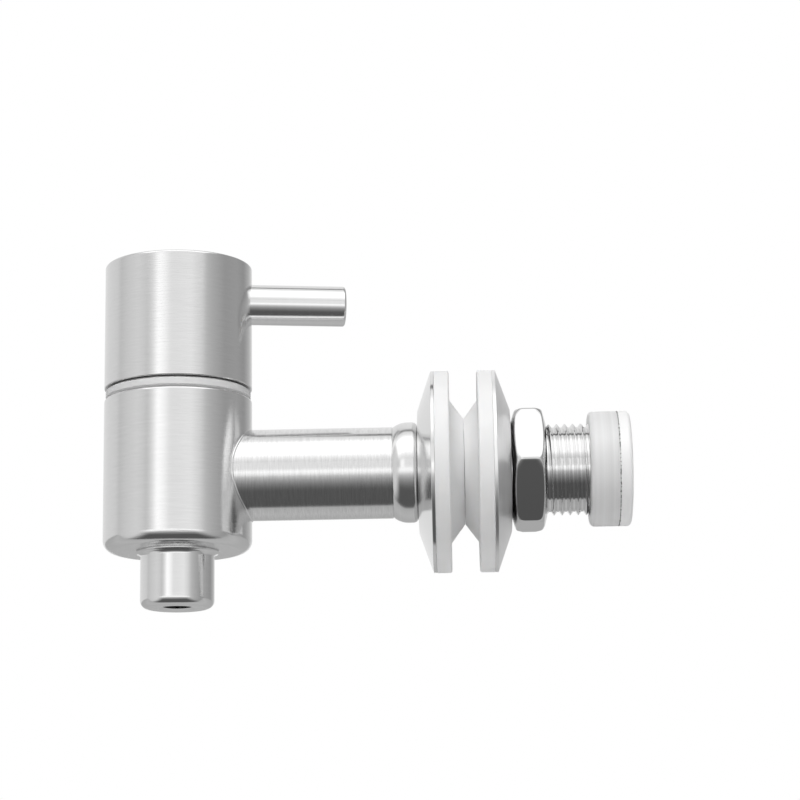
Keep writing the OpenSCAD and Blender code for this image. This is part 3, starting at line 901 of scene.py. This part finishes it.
class OBJECT_OT_tap_cap(bpy.types.Operator):
    """Turn the cap with its hub and bore the lever's seat"""
    bl_idname = "object.tap_cap"
    bl_label = "Handle cap"

    def execute(self, context):
        sizes = context.scene.tap_handle
        radius = CAP_HIGH.x - BARREL_X
        inner_r = radius - sizes.wall
        pocket_z = CAP_LOW.z + sizes.pocket
        cavity_z = LEVER_Z - LEVER_R - sizes.lever_boss
        bore_z = CAP_HIGH.z - sizes.roof
        cap = turned("cap", [
            (0, CAP_HIGH.z, 0),
            (radius, CAP_HIGH.z, sizes.top_round),
            (radius, CAP_LOW.z, sizes.low_round),
            (inner_r, CAP_LOW.z, 0),
            (inner_r, cavity_z, 0),
            (sizes.hub_r, cavity_z, 0),
            (sizes.hub_r, pocket_z, 0),
            (sizes.bore_r, pocket_z, 0),
            (sizes.bore_r, bore_z, 0),
            (0, bore_z, 0),
        ], BARREL_AXIS, closed=False)
        hole = rod("hole", sizes.lever_thread_r, LEVER_AXIS, 0, 2 * radius)
        combine(cap, hole, "DIFFERENCE")
        seat = rod("seat", LEVER_R, LEVER_AXIS, radius - sizes.lever_sink, 2 * radius)
        combine(cap, seat, "DIFFERENCE")
        finish_piece(cap, "handle", brushed_barrel(context.scene.tap_finishes),
                     "brushed_steel", "handle_cap")
        return {"FINISHED"}


class OBJECT_OT_tap_lever(bpy.types.Operator):
    """Turn the lever with its rounded tip and threaded end"""
    bl_idname = "object.tap_lever"
    bl_label = "Lever"

    def execute(self, context):
        sizes = context.scene.tap_handle
        seat = CAP_HIGH.x - BARREL_X - sizes.lever_sink
        lever = turned("lever_rod", [
            (0, sizes.flat_x, 0),
            (sizes.lever_thread_r, sizes.flat_x, 0),
            (sizes.lever_thread_r, seat, 0),
            (LEVER_R, seat, 0),
            (LEVER_R, sizes.lever_reach, sizes.tip_round),
            (0, sizes.lever_reach, 0),
        ], LEVER_AXIS, closed=False)
        finish_piece(lever, "handle", satin_lever(context.scene.tap_finishes), "satin_steel", "lever")
        return {"FINISHED"}


class OBJECT_OT_tap_cup_washers(bpy.types.Operator):
    """Turn the two dished washers"""
    bl_idname = "object.tap_cup_washers"
    bl_label = "Dished washers"

    def execute(self, context):
        sizes = context.scene.tap_seals
        finishes = context.scene.tap_finishes
        mirror = mirror_steel("washer_steel", finishes.front_washer, roughness=0.13)
        front = self.cup("front_cup", sizes, FRONT_CUP_HIGH.x, FRONT_CUP_LOW.x)
        finish_piece(front, "tap_body", mirror, "mirror_steel", "front_cup_washer")
        rear = self.cup("rear_cup", sizes, REAR_CUP_LOW.x, REAR_CUP_HIGH.x)
        finish_piece(rear, "clamp_stack", satin_washer(finishes), "mirror_steel", "rear_cup_washer")
        return {"FINISHED"}

    def cup(self, name, sizes, rim_x, face_x):
        """A cone of sheet between its rim and its small flat end."""
        away = 1 if face_x > rim_x else -1
        sheet = sizes.cup_sheet * away
        bend = 0.3 * MM
        outer_edge = 0.12 * MM
        inner_edge = 0.1 * MM
        inner_face_r = sizes.cup_face_r - sizes.cup_sheet / 2
        return turned(name, [
            (sizes.hole_r, face_x, 0),
            (sizes.cup_face_r, face_x, bend),
            (WASHER_R, rim_x + sheet, outer_edge),
            (WASHER_R, rim_x, inner_edge),
            (WASHER_R - sizes.cup_sheet, rim_x, 0),
            (inner_face_r, face_x - sheet, 0),
            (sizes.hole_r, face_x - sheet, 0),
        ], SHANK_AXIS)


class OBJECT_OT_tap_gaskets(bpy.types.Operator):
    """Mould the two silicone gaskets with their cone bosses"""
    bl_idname = "object.tap_gaskets"
    bl_label = "Gaskets"

    def execute(self, context):
        sizes = context.scene.tap_seals
        silicone = white_silicone(context.scene.tap_finishes)
        front = self.gasket("front_seal", sizes, 0, FRONT_GASKET_HIGH.x, FRONT_GASKET_LOW.x)
        finish_piece(front, "tap_body", silicone, "white_silicone", "front_gasket")
        rear_face = REAR_CUP_LOW.x - sizes.gasket_t
        rear = self.gasket("rear_seal", sizes, rear_face, REAR_GASKET_LOW.x, REAR_GASKET_HIGH.x)
        finish_piece(rear, "clamp_stack", silicone, "white_silicone", "rear_gasket")
        return {"FINISHED"}

    def gasket(self, name, sizes, face_x, boss_x, back_x):
        """A thick ring, its boss on one side and a cone that fills the washer on the other."""
        away = 1 if boss_x > face_x else -1
        rim_x = face_x - sizes.gasket_t * away
        hole_edge = 0.2 * MM
        tip_edge = 0.25 * MM
        rim_edge = 0.12 * MM
        inner_face_r = sizes.cup_face_r - sizes.cup_sheet / 2
        return turned(name, [
            (sizes.hole_r, boss_x, hole_edge),
            (sizes.boss_tip_r, boss_x, tip_edge),
            (sizes.boss_root_r, face_x, sizes.boss_fillet),
            (WASHER_R, face_x, sizes.gasket_edge),
            (WASHER_R, rim_x, rim_edge),
            (WASHER_R - sizes.cup_sheet, rim_x, 0),
            (inner_face_r, back_x, 0),
            (sizes.hole_r, back_x, 0),
        ], SHANK_AXIS)


class OBJECT_OT_tap_nut(bpy.types.Operator):
    """Turn the nut's blank and press it into a hexagon with softened edges"""
    bl_idname = "object.tap_nut"
    bl_label = "Hexagon nut"

    def execute(self, context):
        sizes = context.scene.tap_seals
        flat_r = NUT_HIGH.z
        corner_r = flat_r / math.cos(math.pi / 6)
        face_r = sizes.nut_face_r
        drop = (corner_r - face_r) * math.tan(sizes.nut_slope)
        play = 0.05 * MM
        bore_r = context.scene.tap_shank.thread_r + play
        lead_in = sizes.nut_lead_in
        nut = turned("nut", [
            (bore_r + lead_in, NUT_LOW.x, 0),
            *self.stations((face_r, NUT_LOW.x), (corner_r, NUT_LOW.x + drop)),
            *self.stations((corner_r, NUT_LOW.x + drop), (corner_r, NUT_HIGH.x - drop)),
            *self.stations((corner_r, NUT_HIGH.x - drop), (face_r, NUT_HIGH.x)),
            (face_r, NUT_HIGH.x, 0),
            (bore_r + lead_in, NUT_HIGH.x, 0),
            (bore_r, NUT_HIGH.x - lead_in, 0),
            (bore_r, NUT_LOW.x + lead_in, 0),
        ], SHANK_AXIS)
        self.press(nut, flat_r, sizes)
        plating = mirror_steel("nut_plating", context.scene.tap_finishes.plating, roughness=0.04)
        finish_piece(nut, "nut", plating, "mirror_steel", "hex_nut")
        return {"FINISHED"}

    def stations(self, start, end, count=28):
        """Points in even steps from the start to just before the end."""
        return [
            (start[0] + (end[0] - start[0]) * i / count, start[1] + (end[1] - start[1]) * i / count, 0)
            for i in range(count)
        ]

    def press(self, nut, flat_r, sizes, gather=0.8):
        """Presses the spun blank into a hexagon with rounded edges, its points gathered at the corners."""
        centre = Vector(((NUT_LOW.x + NUT_HIGH.x) / 2, 0, 0))
        for vertex in nut.data.vertices:
            radius = math.hypot(vertex.co.y, vertex.co.z)
            angle = math.atan2(vertex.co.z, vertex.co.y)
            angle -= gather / 6 * math.sin(6 * angle)
            ray = Vector((vertex.co.x - centre.x, radius * math.cos(angle), radius * math.sin(angle)))
            inside = 1
            if radius > sizes.nut_face_r + MERGE:
                inside, outside = 0, 1
                for _ in range(PRESS_HALVINGS):
                    middle = (inside + outside) / 2
                    if self.overhang(ray * middle, flat_r, sizes) > 0:
                        outside = middle
                    else:
                        inside = middle
            vertex.co = centre + ray * inside

    def overhang(self, point, flat_r, sizes):
        """How far a point, seen from the nut's centre, stands out of its rounded shape."""
        radius = math.hypot(point.y, point.z)
        angle = math.atan2(point.z, point.y) % (math.pi / 3) - math.pi / 6
        half = (NUT_HIGH.x - NUT_LOW.x) / 2
        over = [radius * math.cos(angle + side) - flat_r for side in (-math.pi / 3, 0, math.pi / 3)]
        over.append((radius - sizes.nut_face_r) * math.sin(sizes.nut_slope)
                    + (abs(point.x) - half) * math.cos(sizes.nut_slope))
        shoulder_x = half - sizes.nut_shoulder_drop
        over.append((radius - sizes.nut_shoulder_r) * math.sin(sizes.nut_shoulder_slope)
                    + (abs(point.x) - shoulder_x) * math.cos(sizes.nut_shoulder_slope))
        return math.hypot(*[max(0, part + sizes.nut_edge) for part in over]) - sizes.nut_edge


class OBJECT_OT_tap_strainer(bpy.types.Operator):
    """Mould the frosted sleeve and the white end cap, and weave the mesh between them"""
    bl_idname = "object.tap_strainer"
    bl_label = "Strainer"

    def execute(self, context):
        sizes = context.scene.tap_strainer
        finishes = context.scene.tap_finishes
        sleeve_r = SLEEVE_HIGH.z
        stop_x = SLEEVE_HIGH.x - sizes.lip
        seam_x = (MESH_LOW.x + MESH_HIGH.x) / 2
        seam_round = 0.28 * MM
        bore_edge = 0.1 * MM
        window_edge = 0.15 * MM
        sleeve = turned("sleeve", [
            (sizes.bore_r, SLEEVE_LOW.x, bore_edge),
            (sleeve_r, SLEEVE_LOW.x, sizes.sleeve_edge),
            (sleeve_r, seam_x, seam_round),
            (sizes.lip_r, seam_x, 0),
            (sizes.lip_r, stop_x, 0),
            (sizes.bore_r, stop_x, 0),
        ], SHANK_AXIS)
        frosted = frosted_plastic("frosted_plastic", finishes.frosted, clearness=0.22, roughness=0.3)
        finish_piece(sleeve, "strainer", frosted, "frosted_plastic", "strainer_sleeve")
        end_cap = turned("end_cap", [
            (sizes.window_r, seam_x, 0),
            (END_CAP_HIGH.z, seam_x, seam_round),
            (END_CAP_HIGH.z, END_CAP_HIGH.x, sizes.cap_round),
            (sizes.window_r, END_CAP_HIGH.x, window_edge),
        ], SHANK_AXIS)
        white = moulded_plastic("white_plastic", finishes.white)
        finish_piece(end_cap, "strainer", white, "white_plastic", "strainer_cap")
        self.weave(sizes, finishes)
        return {"FINISHED"}

    def weave(self, sizes, finishes):
        """Wires that pass over and under each other, cut to the disc's edge."""
        middle = (MESH_LOW.x + MESH_HIGH.x) / 2
        radius = SLEEVE_HIGH.z - FIT
        count = int(radius / sizes.wire_pitch)
        shortest = 2 * sizes.wire_pitch
        pattern = self.wire(sizes, middle, radius)
        wires = []
        for turn in (0, 1):
            for row in range(-count, count + 1):
                place = row * sizes.wire_pitch
                reach = math.sqrt(max(0, radius ** 2 - place ** 2))
                if reach < shortest:
                    continue
                wires.append(self.cut_wire(pattern, sizes, middle, turn, row, place, reach))
        make_active(pattern)
        bpy.ops.object.delete()
        for wire in wires:
            wire.select_set(True)
        bpy.context.view_layer.objects.active = wires[0]
        bpy.ops.object.join()
        mesh = bpy.context.object
        mesh.name = mesh.data.name = "mesh_disc"
        finish_piece(mesh, "strainer", painted_shade_wire_steel(finishes), "mesh_steel", "strainer_mesh")

    def wire(self, sizes, middle, radius):
        """One long wave of wire along Y, made of short lengths."""
        step = sizes.wire_pitch / WIRE_STEPS
        half = math.ceil(radius / sizes.wire_pitch + 1) * sizes.wire_pitch
        bite = 0.02          # of its radius, by which a wire presses into those that it crosses
        swing = sizes.wire_r * (1 - bite)
        steps = round(2 * half / step)
        clear_selection()
        bpy.ops.mesh.primitive_circle_add(
            vertices=WIRE_SIDES, radius=sizes.wire_r, fill_type="NGON",
            location=(middle + swing, -half, 0), rotation=(math.pi / 2, 0, 0))
        wire = place_in_mesh("wire")
        bpy.ops.object.mode_set(mode="EDIT")
        bpy.ops.mesh.select_all(action="SELECT")
        for i in range(steps):
            here = math.cos(math.pi * i / WIRE_STEPS)
            there = math.cos(math.pi * (i + 1) / WIRE_STEPS)
            bpy.ops.mesh.extrude_region_move(
                TRANSFORM_OT_translate={"value": (swing * (there - here), step, 0)})
        close_up()
        return wire

    def cut_wire(self, pattern, sizes, middle, turn, row, place, reach):
        """A copy of the wire, moved to its row, turned if it is a cross wire, and cut off."""
        make_active(pattern)
        bpy.ops.object.duplicate()
        wire = bpy.context.object
        shift = sizes.wire_pitch * (row % 2)
        for vertex in wire.data.vertices:
            x, y, z = vertex.co
            y += shift
            if turn:
                x, y, z = 2 * middle - x, place + z, y
            else:
                z += place
            vertex.co = (x, y, z)
        along = (0, 0, 1) if turn else (0, 1, 0)
        bpy.ops.object.mode_set(mode="EDIT")
        cut_off([reach * part for part in along], along)
        cut_off([-reach * part for part in along], [-part for part in along])
        close_up()
        return wire


class OBJECT_OT_tap_cartridge(bpy.types.Operator):
    """Give the pieces inside the barrel their finishes"""
    bl_idname = "object.tap_cartridge"
    bl_label = "Cartridge"

    def execute(self, context):
        finishes = context.scene.tap_finishes
        brass = machined_brass(finishes)
        ceramic = lapped_ceramic(finishes)
        rubber = black_rubber(finishes)
        slippery = moulded_plastic("slippery_plastic", finishes.ring, roughness=0.25)
        plan = {
            "cartridge_housing": brass, "spindle": brass,
            "rotating_disc": ceramic, "fixed_disc": ceramic,
            "seat_seal": rubber, "spindle_o_rings": rubber, "housing_o_ring": rubber,
            "slide_washer": slippery, "spindle_clip": clip_steel(finishes),
        }
        for node, material in plan.items():
            mesh = frame["nodes"][node].data
            mesh.materials.clear()
            mesh.materials.append(material)
        return {"FINISHED"}


class OBJECT_OT_tap_studio(bpy.types.Operator):
    """Set the floor, the white surroundings, the lamp, the reflectors and the camera"""
    bl_idname = "object.tap_studio"
    bl_label = "Studio"
    distance = 3         # of the panels in metres, and each comes a little nearer than the last
    nearer = 0.1

    def execute(self, context):
        studio = context.scene.tap_studio
        self.floor(studio)
        self.surroundings(context.scene, studio)
        self.lamp()
        self.reflectors()
        self.camera(context.scene)
        context.scene.view_settings.view_transform = "Standard"
        return {"FINISHED"}

    def floor(self, studio):
        clear_selection()
        bpy.ops.mesh.primitive_plane_add(size=studio.floor_size, location=(0, 0, studio.floor_z))
        floor = place_in_mesh("floor")
        floor.visible_glossy = False
        material, tree, shader = new_finish("floor_paint")
        coordinates = object_coordinates(tree)
        set_tint(tree, shader, noise(tree, coordinates, scale=12), studio.floor_colour, spread=0.008)
        shader.inputs["Roughness"].default_value = 0.9
        shader.inputs["Emission Color"].default_value = (1, 1, 1, 1)
        path = tree.nodes.new("ShaderNodeLightPath")
        glow = mapped(tree, path.outputs["Is Camera Ray"], 0, 1, 0, studio.floor_glow)
        tree.links.new(glow, shader.inputs["Emission Strength"])
        floor.data.materials.append(material)

    def surroundings(self, scene, studio):
        """White where it is seen or mirrored, softer where it lights matte surfaces."""
        world = bpy.data.worlds.new("studio")
        scene.world = world
        world.use_nodes = True
        tree = world.node_tree
        background = tree.nodes["Background"]
        background.inputs["Color"].default_value = (1, 1, 1, 1)
        path = tree.nodes.new("ShaderNodeLightPath")
        seen = math_node(tree, "MAXIMUM", path.outputs["Is Camera Ray"], path.outputs["Is Glossy Ray"])
        seen = math_node(tree, "MAXIMUM", seen, path.outputs["Is Transmission Ray"])
        strength = mapped(tree, seen, 0, 1, studio.ambient, 1)
        tree.links.new(strength, background.inputs["Strength"])

    def lamp(self):
        """One large lamp, in front of the tap and above it, that points at the origin."""
        clear_selection()
        bpy.ops.object.light_add(type="AREA", location=LAMP_PLACE)
        lamp = bpy.context.object
        lamp.name = "top_lamp"
        lamp.data.size = LAMP_SIZE
        lamp.data.energy = LAMP_POWER
        lamp.rotation_euler = (-LAMP_PLACE).to_track_quat("-Z", "Y").to_euler()
        lamp.visible_glossy = False

    def reflectors(self):
        """What mirrors see of the room. The walls lie outermost and the others before them."""
        self.panel("room_walls", WALL_LIGHT, around=(-180, 180), tilts=(-90, 90), pole="Z")
        self.panel("rear_floor", REAR_FLOOR_LIGHT, around=(-176, -94), tilts=(-85, 85), soft=(0.02, 0.02))
        self.panel("front_table", TABLE_LIGHT, around=(-102, 5), tilts=(-56, 50), soft=(0.05, 0.18))
        self.panel("softbox", SOFTBOX_LIGHT, around=(20, 104), tilts=(-46, 46), soft=(0.06, 0.08))
        self.panel("ceiling_gap", CEILING_GAP_LIGHT, around=(97, 108), tilts=(-60, 60), soft=(0.3, 0.3))

    def panel(self, name, light, around, tilts, soft=None, pole="X"):
        """A patch of a sphere about the tap: from angle to angle round a pole, and between tilts.
        soft is the share of its width and height over which an edge fades out."""
        clear_selection()
        bpy.ops.mesh.primitive_grid_add(x_subdivisions=PANEL_STEPS, y_subdivisions=PANEL_STEPS, size=2)
        panel = place_in_mesh(name)
        self.distance -= self.nearer
        for vertex in panel.data.vertices:
            turn = math.radians(around[0] + (around[1] - around[0]) * (vertex.co.x + 1) / 2)
            tilt = math.radians(tilts[0] + (tilts[1] - tilts[0]) * (vertex.co.y + 1) / 2)
            front = -math.cos(turn) * math.cos(tilt)
            aside = math.sin(turn) * math.cos(tilt)
            ends = math.sin(tilt)
            vertex.co = (aside, front, ends) if pole == "Z" else (ends, front, aside)
            vertex.co *= self.distance
        for ray in ("camera", "diffuse", "volume_scatter", "shadow"):
            setattr(panel, "visible_" + ray, False)
        stops = [((angle - around[0]) / (around[1] - around[0]), level) for angle, level in light]
        panel.data.materials.append(self.panel_light(name, stops, soft))

    def panel_light(self, name, stops, soft):
        """Light that follows its stops round the pole and fades out at the panel's edges."""
        material, tree, shader = new_finish(name)
        tree.nodes.remove(shader)
        split = tree.nodes.new("ShaderNodeSeparateXYZ")
        tree.links.new(tree.nodes.new("ShaderNodeTexCoord").outputs["UV"], split.inputs[0])
        ramp = tree.nodes.new("ShaderNodeValToRGB")
        elements = ramp.color_ramp.elements
        while len(elements) < len(stops):
            elements.new(1)
        for element, (place, level) in zip(elements, stops):
            element.position = place
            element.color = [level / BRIGHTEST] * 3 + [1]
        tree.links.new(split.outputs[0], ramp.inputs["Fac"])
        light = tree.nodes.new("ShaderNodeEmission")
        tree.links.new(ramp.outputs["Color"], light.inputs["Color"])
        light.inputs["Strength"].default_value = BRIGHTEST
        if soft is None:
            tree.links.new(light.outputs[0], tree.nodes["Material Output"].inputs["Surface"])
            return material
        edges = []
        for part, fade in zip(split.outputs[:2], soft):
            centre = math_node(tree, "ABSOLUTE", math_node(tree, "SUBTRACT", part, 0.5))
            edges.append(mapped(tree, centre, 0.5 - fade, 0.5, 1, 0))
        clear = tree.nodes.new("ShaderNodeBsdfTransparent")
        mix = tree.nodes.new("ShaderNodeMixShader")
        tree.links.new(math_node(tree, "MULTIPLY", *edges), mix.inputs[0])
        tree.links.new(clear.outputs[0], mix.inputs[1])
        tree.links.new(light.outputs[0], mix.inputs[2])
        tree.links.new(mix.outputs[0], tree.nodes["Material Output"].inputs["Surface"])
        return material

    def camera(self, scene):
        """The photograph's viewpoint: slightly below the tap, looking up at it."""
        azimuth, elevation, roll = (math.radians(a) for a in (CAMERA_TURN, CAMERA_RISE, CAMERA_LEAN))
        back = Vector((math.sin(azimuth) * math.cos(elevation),
                       -math.cos(azimuth) * math.cos(elevation), math.sin(elevation)))
        right = (-back).cross(Vector((0, 0, 1))).normalized()
        up = right.cross(-back)
        leaned_right = right * math.cos(roll) + up * math.sin(roll)
        leaned_up = up * math.cos(roll) - right * math.sin(roll)
        turn = Matrix((leaned_right, leaned_up, back)).transposed()
        clear_selection()
        bpy.ops.object.camera_add(location=CAMERA_AIM + back * CAMERA_DISTANCE, rotation=turn.to_euler())
        camera = bpy.context.object
        camera.data.sensor_width = CAMERA_SENSOR
        camera.data.lens = CAMERA_LENS
        scene.camera = camera


class VIEW3D_PT_tap(bpy.types.Panel):
    """Lists the tap's pieces"""
    bl_idname = "VIEW3D_PT_tap"
    bl_label = "Drink Tap"
    bl_space_type = "VIEW_3D"
    bl_region_type = "UI"
    bl_category = "Drink Tap"

    def draw(self, context):
        for operator in PIECES:
            self.layout.operator(operator.bl_idname)


PIECES = (
    OBJECT_OT_tap_barrel,
    OBJECT_OT_tap_pipe,
    OBJECT_OT_tap_shank,
    OBJECT_OT_tap_spout,
    OBJECT_OT_tap_glide_ring,
    OBJECT_OT_tap_cap,
    OBJECT_OT_tap_lever,
    OBJECT_OT_tap_cup_washers,
    OBJECT_OT_tap_gaskets,
    OBJECT_OT_tap_nut,
    OBJECT_OT_tap_strainer,
    OBJECT_OT_tap_cartridge,
    OBJECT_OT_tap_studio,
)
SETTINGS = {
    "tap_barrel": TapBarrelSizes,
    "tap_handle": TapHandleSizes,
    "tap_shank": TapShankSizes,
    "tap_seals": TapSealSizes,
    "tap_strainer": TapStrainerSizes,
    "tap_finishes": TapFinishes,
    "tap_studio": TapStudio,
}


def register():
    for name, group in SETTINGS.items():
        bpy.utils.register_class(group)
        setattr(bpy.types.Scene, name, PointerProperty(type=group))
    for operator in PIECES:
        bpy.utils.register_class(operator)
    bpy.utils.register_class(VIEW3D_PT_tap)


def unregister():
    bpy.utils.unregister_class(VIEW3D_PT_tap)
    for operator in reversed(PIECES):
        bpy.utils.unregister_class(operator)
    for name, group in SETTINGS.items():
        delattr(bpy.types.Scene, name)
        bpy.utils.unregister_class(group)


def main():
    register()
    for operator in PIECES:
        category, name = operator.bl_idname.split(".")
        getattr(getattr(bpy.ops, category), name)()


if __name__ == "__main__":
    main()
